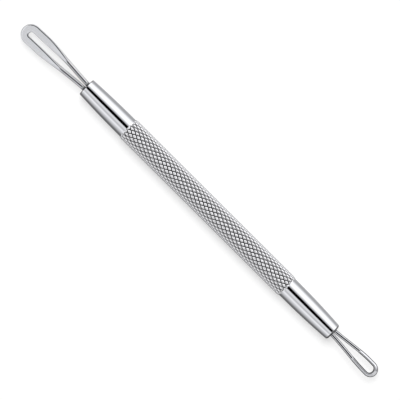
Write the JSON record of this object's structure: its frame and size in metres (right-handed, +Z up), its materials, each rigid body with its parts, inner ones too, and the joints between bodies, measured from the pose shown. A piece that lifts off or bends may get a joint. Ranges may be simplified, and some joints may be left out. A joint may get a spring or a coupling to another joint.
{
  "type": "blackhead extractor",
  "caption": "Slim steel skin-care hand tool: a knurled round handle with a flat pressed wire loop at one end and a finer wire loop at the other, for pressing pores clear.",
  "frame": {"origin": "on the handle's axis, at the middle of the overall length from tip to tip", "axes": "+X along the handle towards the small loop, so the large loop points to -X; both loops lie close to the XY plane, +Z is up from the surface that the tool lies on"},
  "size_m": [0.14, 0.007, 0.007],
  "materials": {
    "handle_steel": "polished stainless steel with a diamond-knurled grip",
    "loop_wire": "polished drawn stainless steel wire, pressed flat at the bow",
    "silver_solder": "bright silver solder, slightly dull"
  },
  "bodies": {
    "root": {"handle": "handle_steel", "large_loop": "loop_wire", "small_loop": "loop_wire", "large_loop_solder": "silver_solder", "small_loop_solder": "silver_solder"}
  },
  "joints": []
}
